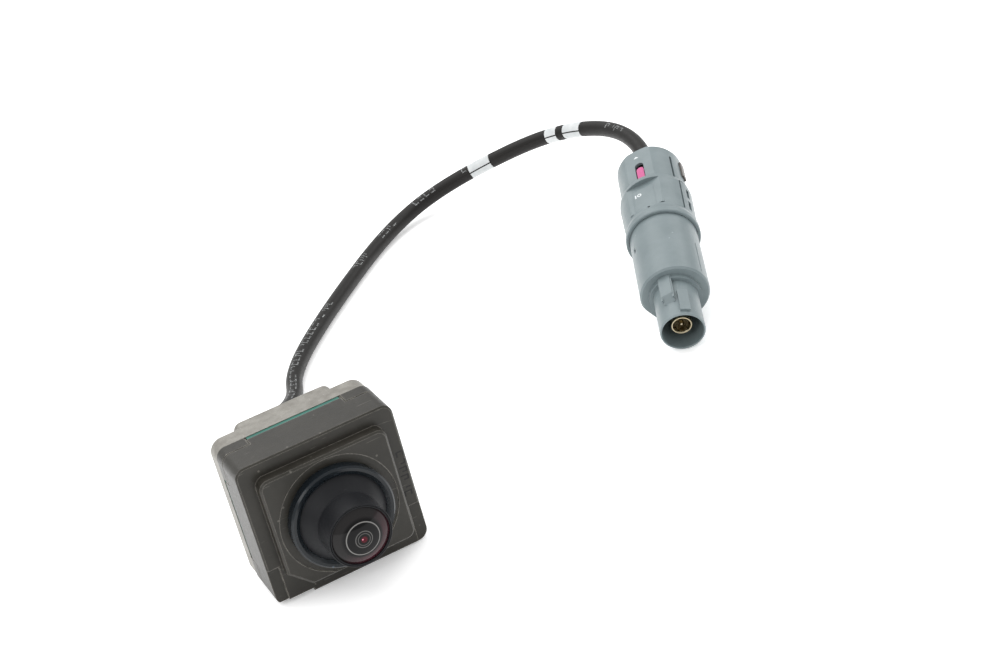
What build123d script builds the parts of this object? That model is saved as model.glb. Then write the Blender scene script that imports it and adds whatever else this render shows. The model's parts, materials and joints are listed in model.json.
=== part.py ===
from build123d import *
import os
from math import acos, atan, cos, degrees, pi, radians, sin, sqrt, tan

# Backup camera with its lead and plug, in millimetres, +Z up.
# Depth is measured along +Y from the case's front border face, forward values being negative.
# The origin is the bottom centre of the camera module's box, lens and cable boot included.

os.makedirs("parts", exist_ok=True)

# Camera case
case_width = 28.0
case_height = 26.6
case_corner = 1.9
case_depth = 8.4
case_wall = 1.8
front_wall = 1.6
corner_pad = 5.5
pad_land = 1.4
pad_line_start = 6.7
pad_line_width = 0.25
pad_line_depth = 0.2
border_step = 0.35
border_step_height = 7.2
border_step_width = 2.1
foot_relief = 0.7
foot_relief_width = 6.6

# Raised front of the case
plateau_width = 22.6
plateau_height = 21.2
plateau_rise = 2.3
plateau_corner = 1.6
plateau_clip = 3.6
plateau_bottom = 2.8
seat_ring_radius = 10.35
seat_ring_depth = 0.2

# Lens
lens_height = 13.0
bezel_radius = 9.0
bezel_bore = 7.6
bezel_reach = 4.2
bezel_seat = 1.4
bezel_undercut = 0.5
bezel_lip_width = 0.6
bezel_lip_drop = 0.3
skirt_gap = 0.06
rim_reach = 11.2
rim_lip = 0.3
rim_chamfer = 0.08
barrel_radius = 5.45
skirt_reach = 6.3
spigot_radius = 5.65
spigot_back = 1.2
neck_radius = 5.2
neck_back = 3.4
o_ring_section = 0.37
o_ring_groove = 0.7
front_bore = 5.2
second_bore = 4.25
third_bore = 3.55
exit_bore = 2.6
dome_radius = 4.95
dome_bulge = 1.7
front_lens_thickness = 2.3
lens_fit = 0.05

# Stack of the lens, each thickness along the axis
front_spacer = 0.7
second_lens_thickness = 1.9
middle_spacer = 0.8
stop_thickness = 0.15
third_lens_thickness = 1.7
rear_spacer = 0.9
fourth_lens_thickness = 1.5
clip_thickness = 0.7
filter_thickness = 0.3
filter_depth = 2.7

# Boards
board_thickness = 1.0
board_gap = 0.4
board_depth = 5.2
stack_height = 3.0
socket_height = 1.5
sensor_width = 8.2
sensor_height = 7.2
sensor_thickness = 1.0
cover_glass = 0.35
holder_width = 13.6
holder_height = 15.0
holder_front = 1.9
chip_width = 6.0
chip_height = 5.0
chip_thickness = 0.9
chip_offset = 8.2

# Rear housing
gasket_thickness = 1.0
gasket_inset = 0.15
plate_thickness = 3.8
plate_corner = 2.4
plate_floor = 1.0
block_width = 17.8
block_height = 26.6
block_rise = 2.1
block_wall = 1.5
well_width = 10.0
well_height = 9.0
boss_radius = 4.8
boss_bore = 3.0
boss_length = 3.3
rib_rise = 0.5
rib_width = 1.2

# Screws
case_screw_inset = 2.9
case_screw_radius = 1.0
case_screw_head = 1.9
case_screw_head_height = 1.2
case_screw_grip = 6.0
board_screw_x = 10.3
board_screw_z = 4.5
board_screw_radius = 0.78
board_screw_head = 1.5
board_screw_head_height = 0.9
board_screw_reach = 1.4
post_radius = 1.6
thread_fit = 0.03
hole_fit = 0.15

# Lead
lead_diameter = 3.3
lead_fit = 0.05
jacket_wall = 0.35
dielectric_radius = 0.72
outlet_height = 13.0
boot_length = 8.4
boot_flange_radius = 4.4
boot_flange = 1.6
boot_root_radius = 3.4
boot_end_radius = 2.5
boot_spigot = 1.8
ferrule_wall = 0.4
lead_exit_run = 10.4
lead_entry_run = 14.5

# Plug, each length measured from the nose tip
nose_radius = 4.25
nose_bore = 3.88
nose_length = 10.8
nose_ring_radius = 5.0
nose_ring = 0.9
body_radius = 6.65
body_length = 29.5
inner_shell_radius = 5.8
inner_shell_bore = 5.3
inner_shell_end = 36.0
core_radius = 4.2
core_end = 46.0
chamber_start = 20.5
contact_bore = 2.45
contact_stop = 12.4
socket_floor = 10.5
sleeve_start = 27.8
sleeve_end = 40.3
sleeve_radius = 7.05
sleeve_rim_radius = 7.35
sleeve_rim = 1.3
sleeve_fit = 0.1
seal_thickness = 0.5
cap_start = 36.4
cap_end = 51.0
cap_radius = 6.6
cap_bore = 5.4
cap_floor = 2.2
flat_depth_sleeve = 6.25
flat_depth_cap = 5.98
contact_radius = 2.0
contact_wall = 0.38
contact_start = 1.8
insulator_depth = 4.0
pin_radius = 0.45
catch_width = 2.2
catch_height = 5.3
catch_start = 4.0
catch_ramp = 1.4
key_rib_angle = 56.0
key_rib_width = 1.9
key_rib_rise = 0.45
key_rib_start = 1.0
key_rib_end = 6.6
guide_rib_angle = 13.0
guide_rib_width = 0.35
guide_rib_drop = 0.1
guide_rib_start = 4.5
facet_angle = 198.0
facet_width = 12.0
facet_depth = 0.5
facet_gap = 0.6
parting_angle = 13.0
parting_width = 0.2
parting_depth = 0.15
parting_start = 12.0
parting_end = 20.8
latch_half_angle = 24.0
latch_slot = 0.4
latch_margin = 0.6
latch_window_angle = 8.0
latch_window_width = 0.9
latch_window_length = 2.7
latch_window_start = 1.4
latch_window_gap = 1.1
flat_slot = 0.4
flat_slot_depth = 0.35
flat_slot_width = 7.5
mark_hole_angle = 85.0
mark_hole_radius = 0.25
mark_hole_depth = 0.3
mark_hole_length = 30.3
cap_slot_angle = 28.0
cap_slot_width = 0.5
cap_slot_margin = 0.7
cap_slot_length = 7.0
tab_angle = -2.0
tab_span = 14.0
tab_start = 43.7
tab_end = 48.3
tab_rise = 0.4
tab_gap = 0.05

# Sliding secondary lock
lock_travel = 1.0
lock_margin = 0.3
lock_plate_inner = 4.35
lock_plate_outer = 5.1
lock_pad_width = 1.5
lock_pad_top = 5.85
lock_pad_start = 40.9
lock_pad_length = 4.4
lock_slot_start = 40.6
lock_slot_side = 0.2
lock_finger_angle = 134.0
lock_finger_span = 14.0
lock_finger_start = 0.8
lock_window_width = 0.6
lock_window_start = 1.3
lock_window_length = 1.2

# Where the plug lies: its nose edge and body edge touch the ground, its tail is up
plug_tip_x = 76.9
plug_tip_y = 11.7
plug_turn = -25.7
plug_roll = 17.0

# Depths that follow
plate_front = case_depth + gasket_thickness
plate_back = plate_front + plate_thickness
block_back = plate_back + block_rise
boss_back = block_back + boss_length
boot_back = boss_back + boot_length
lens_reach = rim_reach - rim_lip + dome_bulge
front_y = (lens_reach - boot_back) / 2
mid_height = case_height / 2
lead_radius = lead_diameter / 2
braid_radius = lead_radius - jacket_wall
case_screw_x = case_width / 2 - case_screw_inset
case_screw_z = case_height / 2 - case_screw_inset
rear_board_front = board_depth + board_thickness + stack_height
rear_board_back = rear_board_front + board_thickness
pocket_back = plate_back - plate_floor
well_back = block_back - block_wall

case_axis = (0, front_y, mid_height)
lens_axis = (0, front_y, lens_height)
outlet_axis = (0, front_y, outlet_height)
plug_axis = (0, 0, 0)

plug_tilt = degrees(atan((body_radius - nose_radius) / nose_length))
plug_tip = (plug_tip_x, plug_tip_y, nose_radius * cos(radians(plug_tilt)))
plug_place = (
    Location(plug_tip)
    * Rotation(0, 0, plug_turn)
    * Rotation(plug_tilt, 0, 0)
    * Rotation(0, -plug_roll, 0)
)


def facing(axis, depth):
    """Plane across an axis that runs along +Y: its x is +X and its y is +Z."""
    x, y, z = axis
    return Plane(origin=(x, y + depth, z), x_dir=(1, 0, 0), z_dir=(0, -1, 0))


def slab(outline, front, back, axis=case_axis):
    """An outline in X and Z, made solid between two depths."""
    return extrude(facing(axis, front) * outline, -(back - front))


def turned(profile, axis):
    """A closed profile of (radius, depth) points or edges, turned about an axis along +Y."""
    x, y, z = axis
    half = Plane(origin=axis, x_dir=(1, 0, 0), z_dir=(0, 0, 1))
    outline = make_face(profile) if isinstance(profile[0], Edge) else Polygon(*profile)
    return revolve(half * outline, Axis((x, y, z), (0, 1, 0)))


def tube(outer, inner, front, back, axis):
    """A straight ring, or a disc when its inner radius is 0."""
    return turned([(inner, front), (outer, front), (outer, back), (inner, back)], axis)


def sector(inner, outer, centre, span, front, back, axis=plug_axis):
    """Part of a ring about an axis; angles are degrees from +X towards +Z."""

    def at(radius, angle):
        return (radius * cos(radians(angle)), radius * sin(radians(angle)))

    first = centre - span / 2
    last = centre + span / 2
    outline = make_face(
        [
            ThreePointArc(at(outer, first), at(outer, centre), at(outer, last)),
            Line(at(outer, last), at(inner, last)),
            ThreePointArc(at(inner, last), at(inner, centre), at(inner, first)),
            Line(at(inner, first), at(outer, first)),
        ]
    )
    return slab(outline, front, back, axis)


def block_at(angle, width, inner, outer, front, back, axis=plug_axis):
    """A straight-sided block that stands off an axis at an angle from +X towards +Z."""
    outline = Pos((inner + outer) / 2, 0) * Rectangle(outer - inner, width)
    return slab(Rotation(0, 0, angle) * outline, front, back, axis)


def four_corners(x, z):
    return [Pos(i * x, k * z) for i in (-1, 1) for k in (-1, 1)]


def notched(width, height, corner_x, corner_z):
    """A rectangle with a square notch out of each corner."""
    outline = Rectangle(width, height)
    notch = Rectangle(2 * corner_x, 2 * corner_z)
    for place in four_corners(width / 2, height / 2):
        outline -= place * notch
    return outline


def cavity_outline(gap=0.0):
    """The inside of the case: a rectangle that leaves a solid block at each corner."""
    block = corner_pad + pad_land - case_wall
    return notched(
        case_width - 2 * case_wall - 2 * gap, case_height - 2 * case_wall - 2 * gap, block, block
    )


def case_screw_places():
    return four_corners(case_screw_x, case_screw_z)


def board_screw_places():
    return four_corners(board_screw_x, board_screw_z)


def drilled(places, radius, front, back, axis=case_axis):
    outline = Sketch() + [place * Circle(radius) for place in places]
    return slab(outline, front, back, axis)


def plateau():
    """Raised front of the case, with its lower left corner clipped."""
    middle = plateau_bottom + plateau_height / 2 - mid_height
    base = Pos(0, middle) * RectangleRounded(plateau_width, plateau_height, plateau_corner)
    corner = Pos(-plateau_width / 2, middle - plateau_height / 2)
    base -= corner * Rotation(0, 0, 45) * Rectangle(plateau_clip * sqrt(2), plateau_clip * sqrt(2))
    raised = slab(base, -plateau_rise, front_wall)
    front_edges = raised.edges().filter_by(Plane.XZ).group_by(Axis.Y)[0]
    return chamfer(front_edges, 0.35)


def pad_lines():
    """Shallow lines round the pad at each rear corner of the case."""
    inner = RectangleRounded(
        case_width - 2 * pad_line_depth, case_height - 2 * pad_line_depth, case_corner - pad_line_depth
    )
    skin = Rectangle(case_width + 1, case_height + 1) - inner
    places = four_corners(case_width / 2, case_height / 2)
    wide = Sketch() + [place * Rectangle(2 * corner_pad, 2 * corner_pad) for place in places]
    edge = 2 * (corner_pad - pad_line_width)
    narrow = Sketch() + [place * Rectangle(edge, edge) for place in places]
    front = slab(skin & wide, pad_line_start - pad_line_width, pad_line_start)
    return front + slab(skin & (wide - narrow), pad_line_start - pad_line_width, plate_front)


def front_housing():
    outer = RectangleRounded(case_width, case_height, case_corner)
    body = slab(outer, 0, case_depth)
    body = chamfer(body.edges().filter_by(Plane.XZ).group_by(Axis.Y)[0], 0.3)
    body -= slab(cavity_outline(), front_wall, case_depth)
    pads = slab(outer, case_depth, plate_front)
    pads -= slab(Rectangle(case_width, case_height - 2 * corner_pad), case_depth, plate_front)
    pads -= slab(Rectangle(case_width - 2 * corner_pad, case_height), case_depth, plate_front)
    body += pads
    for side in (-1, 1):
        step_x = side * (case_width / 2 - border_step_width / 2)
        step = Pos(step_x, border_step_height / 2 - mid_height)
        body -= slab(step * Rectangle(border_step_width, border_step_height), 0, border_step)
    body -= pad_lines()
    foot = Pos(foot_relief_width / 2 - case_width / 2, foot_relief / 2 - mid_height)
    body -= slab(foot * Rectangle(foot_relief_width, foot_relief), 0, case_depth)
    body += plateau()
    body -= slab(Circle(seat_ring_radius), -plateau_rise, -plateau_rise + seat_ring_depth, lens_axis)
    foot_radius = bezel_radius - bezel_undercut
    body -= slab(Circle(foot_radius + lens_fit), -plateau_rise, -bezel_seat, lens_axis)
    body -= slab(Circle(spigot_radius + lens_fit), -plateau_rise, front_wall, lens_axis)
    body += drilled(board_screw_places(), post_radius, front_wall, board_depth)
    pilot_front = board_depth - board_screw_reach * 2
    body -= drilled(board_screw_places(), board_screw_radius + thread_fit, pilot_front, board_depth)
    screw_front = plate_back - case_screw_head_height - case_screw_grip
    body -= drilled(case_screw_places(), case_screw_radius + thread_fit, screw_front, plate_front)
    return body


def housing_gasket():
    outline = RectangleRounded(
        case_width - 2 * gasket_inset, case_height - 2 * gasket_inset, case_corner
    )
    pad = 2 * (corner_pad + gasket_inset)
    for place in four_corners(case_width / 2, case_height / 2):
        outline -= place * Rectangle(pad, pad)
    outline -= cavity_outline()
    return slab(outline, case_depth, plate_front)


def rear_housing():
    plate_outline = RectangleRounded(case_width, case_height, plate_corner)
    plate = slab(plate_outline, plate_front, plate_back)
    plate = fillet(plate.edges().filter_by(Plane.XZ).group_by(Axis.Y)[-1], 0.5)
    block = slab(RectangleRounded(block_width, block_height, 1.5), pocket_back, block_back)
    block = fillet(block.edges().filter_by(Plane.XZ).group_by(Axis.Y)[-1], 0.6)
    body = plate + block
    body += tube(boss_radius, 0, well_back, boss_back, outlet_axis)
    rib_middle = block_height / 2 - 2.2
    for height in (-rib_middle, -rib_middle + 2.4, rib_middle - 2.4, rib_middle):
        rib = Pos(0, height) * Rectangle(block_width - 3.0, rib_width)
        body += slab(rib, block_back, block_back + rib_rise)
    body -= slab(cavity_outline(), plate_front, pocket_back)
    body -= slab(Rectangle(well_width, well_height), pocket_back, well_back, outlet_axis)
    body -= tube(boss_bore, 0, well_back, boss_back, outlet_axis)
    body += drilled(board_screw_places(), post_radius, rear_board_back, pocket_back)
    tip = rear_board_back + board_screw_reach
    body -= drilled(board_screw_places(), board_screw_radius + thread_fit, rear_board_back, tip)
    body -= drilled(case_screw_places(), case_screw_radius + hole_fit, plate_front, plate_back)
    head_front = plate_back - case_screw_head_height
    body -= drilled(case_screw_places(), case_screw_head + hole_fit, head_front, plate_back)
    return body


def housing_screws():
    """Four case screws with a cross slot, driven from the rear."""
    head_front = plate_back - case_screw_head_height
    screws = drilled(case_screw_places(), case_screw_head, head_front, plate_back)
    tip = head_front - case_screw_grip
    screws += drilled(case_screw_places(), case_screw_radius, tip, head_front)
    for width, height in ((2.2, 0.5), (0.5, 2.2)):
        slots = Sketch() + [place * Rectangle(width, height) for place in case_screw_places()]
        screws -= slab(slots, plate_back - 0.6, plate_back)
    return screws


def board_screws():
    """Four screws hold the sensor board to the front case, four the rear board to the back."""
    front_seat = board_depth + board_thickness
    screws = drilled(
        board_screw_places(), board_screw_head, front_seat, front_seat + board_screw_head_height
    )
    screws += drilled(
        board_screw_places(), board_screw_radius, board_depth - board_screw_reach, front_seat
    )
    rear_head = rear_board_front - board_screw_head_height
    screws += drilled(board_screw_places(), board_screw_head, rear_head, rear_board_front)
    rear_tip = rear_board_back + board_screw_reach
    screws += drilled(board_screw_places(), board_screw_radius, rear_board_front, rear_tip)
    return screws


def lens_bezel():
    """Gloss collar round the lens, with a narrower foot sunk in the case."""
    edge = 0.3
    foot_radius = bezel_radius - bezel_undercut
    return turned(
        [
            (bezel_bore, -bezel_seat),
            (foot_radius, -bezel_seat),
            (foot_radius, -plateau_rise),
            (bezel_radius, -plateau_rise),
            (bezel_radius, -bezel_reach + edge),
            (bezel_radius - edge, -bezel_reach),
            (bezel_bore + bezel_lip_width, -bezel_reach),
            (bezel_bore, -bezel_reach + bezel_lip_drop),
        ],
        lens_axis,
    )


front_seat = front_lens_thickness + rim_lip - rim_reach
second_seat = front_seat + front_spacer + second_lens_thickness + middle_spacer
stop_back = second_seat + stop_thickness
third_back = stop_back + lens_fit + third_lens_thickness
fourth_front = third_back + rear_spacer
fourth_back = fourth_front + fourth_lens_thickness
third_seat = fourth_back + clip_thickness
groove_width = 2 * o_ring_section + 0.3
groove_front = -bezel_seat + 0.8


def lens_barrel():
    """Barrel with its skirt, seal groove and the stepped bores that the glass sits in."""
    groove_radius = spigot_radius - o_ring_groove
    return turned(
        [
            (front_bore, -rim_reach + rim_chamfer),
            (front_bore + rim_chamfer, -rim_reach),
            (barrel_radius - rim_chamfer, -rim_reach),
            (barrel_radius, -rim_reach + rim_chamfer),
            (barrel_radius, -skirt_reach),
            (bezel_bore - skirt_gap, -bezel_reach + bezel_lip_drop),
            (bezel_bore - skirt_gap, -bezel_seat),
            (spigot_radius, -bezel_seat),
            (spigot_radius, groove_front),
            (groove_radius, groove_front),
            (groove_radius, groove_front + groove_width),
            (spigot_radius, groove_front + groove_width),
            (spigot_radius, spigot_back),
            (neck_radius, spigot_back),
            (neck_radius, neck_back),
            (exit_bore, neck_back),
            (exit_bore, third_seat),
            (third_bore, third_seat),
            (third_bore, second_seat),
            (second_bore, second_seat),
            (second_bore, front_seat),
            (front_bore, front_seat),
        ],
        lens_axis,
    )


def arc_points(radius, depth, bulge):
    """Rim, half-radius and centre points of a shallow cap whose centre is at depth + bulge."""
    size = abs(bulge)
    sphere = (radius**2 + size**2) / (2 * size)
    half = sqrt(sphere**2 - (radius / 2) ** 2) - (sphere - size)
    side = bulge / size
    return (radius, depth), (radius / 2, depth + side * half), (0, depth + bulge)


def lens(edge, front, back, front_bulge, back_bulge, front_cap=None, back_cap=None):
    """Glass element: each face is a spherical cap inside a flat rim; bulges are signed depths."""
    front_rim, front_mid, front_tip = arc_points(front_cap or edge - 0.2, front, front_bulge)
    back_rim, back_mid, back_tip = arc_points(back_cap or edge - 0.2, back, back_bulge)
    profile = [
        ThreePointArc(front_tip, front_mid, front_rim),
        Line(front_rim, (edge, front)),
        Line((edge, front), (edge, back)),
        Line((edge, back), back_rim),
        ThreePointArc(back_rim, back_mid, back_tip),
        Line(back_tip, front_tip),
    ]
    return turned(profile, lens_axis)


def lens_o_ring():
    middle = groove_front + groove_width / 2
    centre = spigot_radius + lens_fit - o_ring_section - 0.01
    x, y, z = lens_axis
    ring = Plane(origin=lens_axis, x_dir=(1, 0, 0), z_dir=(0, 0, 1))
    section = ring * Pos(centre, middle) * Circle(o_ring_section)
    return revolve(section, Axis((x, y, z), (0, 1, 0)))


def lens_holder():
    """Bracket on the sensor board that the barrel's neck is bonded into."""
    body = slab(RectangleRounded(holder_width, holder_height, 1.0), holder_front, board_depth, lens_axis)
    body -= slab(Circle(neck_radius + lens_fit), holder_front, board_depth, lens_axis)
    chamber = Rectangle(sensor_width + 0.8, sensor_height + 0.8)
    body -= slab(chamber, neck_back + 0.2, board_depth, lens_axis)
    return body


def board(front, hole_radius):
    body = slab(cavity_outline(board_gap), front, front + board_thickness)
    return body - drilled(board_screw_places(), hole_radius, front, front + board_thickness)


def shield_can():
    """Tin lid over the power parts, open towards the board."""
    seat = board_depth + board_thickness
    place = Pos(0, -3.4)
    body = slab(place * RectangleRounded(13.0, 9.0, 0.6), seat, seat + 1.7)
    return body - slab(place * RectangleRounded(12.5, 8.5, 0.4), seat, seat + 1.45)


def board_socket():
    seat = board_depth + board_thickness
    body = slab(Pos(0, 6.6) * Rectangle(11.0, 3.4), seat, seat + socket_height)
    return body - slab(Pos(0, 6.6) * Rectangle(9.4, 1.2), seat + 0.4, seat + socket_height)


def board_header():
    seat = board_depth + board_thickness + socket_height
    body = slab(Pos(0, 6.6) * Rectangle(10.4, 2.9), seat, rear_board_front)
    return body + slab(Pos(0, 6.6) * Rectangle(9.2, 1.0), seat - 0.9, seat)


def serializer_chip():
    outline = Pos(0, chip_offset) * Rectangle(chip_width, chip_height)
    return slab(outline, rear_board_back, rear_board_back + chip_thickness)


def thermal_pad():
    outline = Pos(0, chip_offset) * Rectangle(chip_width + 0.6, chip_height + 0.4)
    return slab(outline, rear_board_back + chip_thickness, pocket_back)


jack_base = 1.0
jack_radius = 1.9
jack_back = well_back - 0.2
inner_plug_start = jack_back - 1.8
inner_plug_back = boss_back - 2.4


def board_jack():
    base = slab(Rectangle(5.0, 5.0), rear_board_back, rear_board_back + jack_base, outlet_axis)
    body = base + tube(jack_radius, 1.5, rear_board_back, jack_back, outlet_axis)
    return body - tube(1.5, 0, rear_board_back + 0.4, jack_back, outlet_axis)


def module_coax_plug():
    """Push-on plug inside the outlet boss, over the board's jack."""
    return turned(
        [
            (jack_radius + lead_fit, inner_plug_start),
            (boss_bore - 0.35, inner_plug_start),
            (boss_bore - 0.35, inner_plug_back),
            (dielectric_radius + lead_fit, inner_plug_back),
            (dielectric_radius + lead_fit, jack_back + 0.1),
            (jack_radius + lead_fit, jack_back + 0.1),
        ],
        outlet_axis,
    )


def stripped_end(start, braid, jacket, end, axis):
    """Cable end cut back in steps: core in its dielectric, braid, then the jacket."""
    return turned(
        [
            (0, start),
            (dielectric_radius, start),
            (dielectric_radius, braid),
            (braid_radius, braid),
            (braid_radius, jacket),
            (lead_radius, jacket),
            (lead_radius, end),
            (0, end),
        ],
        axis,
    )


module_jacket = inner_plug_back + 2.3
module_ferrule_end = module_jacket + 3.5


def module_lead_end():
    return stripped_end(
        jack_back + 0.4, inner_plug_back, module_jacket, boot_back, outlet_axis
    )


def module_ferrule():
    inner = lead_radius + lead_fit
    return tube(inner + ferrule_wall, inner, inner_plug_back, module_ferrule_end, outlet_axis)


def cable_boot():
    """Rubber boot: a spigot in the boss, a flange on its face and a ringed taper."""
    ferrule_bore = lead_radius + ferrule_wall + 2 * lead_fit
    lead_bore = lead_radius + lead_fit
    spigot = boss_bore - 0.05
    profile = [
        (ferrule_bore, boss_back - boot_spigot),
        (spigot, boss_back - boot_spigot),
        (spigot, boss_back),
        (boot_flange_radius, boss_back),
        (boot_flange_radius, boss_back + boot_flange),
    ]
    taper_length = boot_length - boot_flange
    rings = 4
    for ring in range(rings):
        share = ring / rings
        start = boss_back + boot_flange + taper_length * share
        radius = boot_root_radius + (boot_end_radius - boot_root_radius) * share
        profile += [(radius, start), (radius, start + 1.0), (radius - 0.35, start + 1.0)]
        profile += [(radius - 0.35, start + taper_length / rings)]
    profile += [
        (lead_bore, boot_back),
        (lead_bore, module_ferrule_end + 0.1),
        (ferrule_bore, module_ferrule_end + 0.1),
    ]
    return turned(profile, outlet_axis)


def plug_body():
    """Front of the plug: nose, catch and keys, outer shell, and the core the contact sits in."""
    edge = 0.2
    body = turned(
        [
            (nose_bore, edge),
            (nose_bore + 0.1, 0),
            (nose_radius - 0.1, 0),
            (nose_radius, edge),
            (nose_radius, nose_length - nose_ring),
            (nose_ring_radius, nose_length - nose_ring),
            (nose_ring_radius, nose_length),
            (body_radius - 0.3, nose_length),
            (body_radius, nose_length + 0.4),
            (body_radius, body_length),
            (inner_shell_radius, body_length),
            (inner_shell_radius, inner_shell_end),
            (inner_shell_bore, inner_shell_end),
            (inner_shell_bore, chamber_start),
            (core_radius, chamber_start),
            (core_radius, core_end),
            (contact_bore, core_end),
            (contact_bore, contact_stop),
            (contact_radius + 0.1, contact_stop),
            (contact_radius + 0.1, socket_floor),
            (nose_bore, socket_floor),
        ],
        plug_axis,
    )
    body += catch()
    root = nose_bore + 0.1
    key_top = nose_radius + key_rib_rise
    body += block_at(key_rib_angle, key_rib_width, root, key_top, key_rib_start, key_rib_end)
    guide_top = catch_height - guide_rib_drop
    for side in (-1, 1):
        angle = 90 + side * guide_rib_angle
        body += block_at(angle, guide_rib_width, root, guide_top, guide_rib_start, nose_length)
    outside = body_radius + 2
    facet_floor = body_radius - facet_depth
    facet_end = sleeve_start - facet_gap
    body -= block_at(facet_angle, facet_width, facet_floor, outside, nose_length, facet_end)
    parting_floor = body_radius - parting_depth
    body -= block_at(
        parting_angle, parting_width, parting_floor, outside, parting_start, parting_end
    )
    start = chamber_start + lock_window_start
    end = start + lock_window_length
    wall = inner_shell_bore - 0.1
    body -= window(lock_finger_angle, lock_window_width, wall, outside, start, end)
    return body


def catch():
    """Catch on top of the nose, with a ramp towards the tip."""
    side = Plane(origin=(-catch_width / 2, 0, 0), x_dir=(0, 1, 0), z_dir=(1, 0, 0))
    root = nose_bore + 0.1
    outline = Polygon(
        (catch_start, root),
        (nose_length, root),
        (nose_length, catch_height),
        (catch_start + catch_ramp, catch_height),
        (catch_start, nose_radius),
    )
    return extrude(side * outline, catch_width)


def window(angle, width, inner, outer, front, back):
    """A slot through a wall, with round ends, at an angle about the plug's axis."""
    length = back - front
    outline = Rotation(0, 0, 90) * SlotOverall(length, width)
    across = Plane(
        origin=(inner * cos(radians(angle)), (front + back) / 2, inner * sin(radians(angle))),
        x_dir=(-sin(radians(angle)), 0, cos(radians(angle))),
        z_dir=(cos(radians(angle)), 0, sin(radians(angle))),
    )
    return extrude(across * outline, outer - inner)


def plug_sleeve():
    """Sleeve over the body and cap, with a flat on top and a spring latch on each side."""
    rim_bore = body_radius + sleeve_fit
    bore = inner_shell_radius + sleeve_fit
    step = body_length + seal_thickness
    body = turned(
        [
            (rim_bore, sleeve_start),
            (sleeve_rim_radius - 0.15, sleeve_start),
            (sleeve_rim_radius, sleeve_start + 0.2),
            (sleeve_rim_radius, sleeve_start + sleeve_rim),
            (sleeve_radius, sleeve_start + sleeve_rim + 1.2),
            (sleeve_radius + 0.2, sleeve_end - 1.2),
            (sleeve_radius, sleeve_end),
            (bore, sleeve_end),
            (bore, step),
            (rim_bore, step),
        ],
        plug_axis,
    )
    body -= block_at(90, 12.0, flat_depth_sleeve, sleeve_radius + 2, step + 0.8, sleeve_end - 1.1)
    slot_floor = flat_depth_sleeve - flat_slot_depth
    slot_start = step + 0.8
    body -= block_at(
        90, flat_slot_width, slot_floor, sleeve_radius + 2, slot_start, slot_start + flat_slot
    )
    for middle in (0, 180):
        inner = bore - 0.3
        outer = sleeve_rim_radius + 1
        start = step + latch_margin
        end = sleeve_end - latch_margin
        for side in (-1, 1):
            angle = middle + side * latch_half_angle
            body -= block_at(angle, latch_slot, inner, outer, start, end)
        span = 2 * latch_half_angle
        body -= sector(inner, outer, middle, span, end - latch_slot, end)
    outer = sleeve_rim_radius + 1
    first = step + latch_window_start
    second = first + latch_window_length + latch_window_gap
    for angle in (latch_window_angle, 180 - latch_window_angle):
        for start in (first, second):
            end = start + latch_window_length
            body -= block_at(angle, latch_window_width, bore - 0.3, outer, start, end)
    hole_floor = sleeve_radius - mark_hole_depth
    hole_end = mark_hole_length + mark_hole_radius
    hole_start = mark_hole_length - mark_hole_radius
    width = 2 * mark_hole_radius
    body -= block_at(mark_hole_angle, width, hole_floor, outer, hole_start, hole_end)
    return body


def sleeve_seal():
    inner = inner_shell_radius + lead_fit
    outer = body_radius + lead_fit
    return tube(outer, inner, body_length, body_length + seal_thickness, plug_axis)


lock_slot_end = lock_pad_start + lock_pad_length + lock_travel + lock_margin


def rear_cap():
    """Rear cap with a flat, the slot that shows the lock, and a wall the lead passes through."""
    floor = cap_end - cap_floor
    body = turned(
        [
            (cap_bore, cap_start),
            (inner_shell_radius, cap_start),
            (inner_shell_radius, sleeve_end),
            (cap_radius, sleeve_end),
            (cap_radius, cap_end - 0.8),
            (cap_radius - 0.25, cap_end - 0.25),
            (cap_radius - 0.8, cap_end),
            (lead_radius + lead_fit, cap_end),
            (lead_radius + lead_fit, floor),
            (cap_bore, floor),
        ],
        plug_axis,
    )
    body -= block_at(90, 12.0, flat_depth_cap, cap_radius + 2, sleeve_end, cap_end)
    slot_width = lock_pad_width + 2 * lock_slot_side
    round_start = lock_slot_end - slot_width / 2
    body -= block_at(90, slot_width, cap_bore - 0.4, cap_radius + 1, lock_slot_start, round_start)
    body -= window(90, slot_width, cap_bore - 0.4, cap_radius + 1, round_start - slot_width, lock_slot_end)
    start = sleeve_end + cap_slot_margin
    end = start + cap_slot_length
    body -= block_at(cap_slot_angle, cap_slot_width, cap_bore - 0.4, cap_radius + 1, start, end)
    body -= tab(tab_gap)
    return body


def tab(gap):
    """Small side tab, or with a gap the groove it sits in."""
    inner = cap_radius - 0.3 - gap
    span = tab_span + degrees(2 * gap / inner)
    return sector(inner, cap_radius + tab_rise, tab_angle, span, tab_start - gap, tab_end + gap)


def side_tab():
    return tab(0)


def wire_seal():
    """Seal on the lead between the core's end and the cap's wall."""
    inner = lead_radius + lead_fit
    start = core_end + 0.2
    end = cap_end - cap_floor - 0.2
    middle = (start + end) / 2
    return turned(
        [
            (inner, start),
            (core_radius - 0.3, start),
            (core_radius, start + 0.5),
            (core_radius - 0.3, middle),
            (core_radius, end - 0.5),
            (core_radius - 0.3, end),
            (inner, end),
        ],
        plug_axis,
    )


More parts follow.
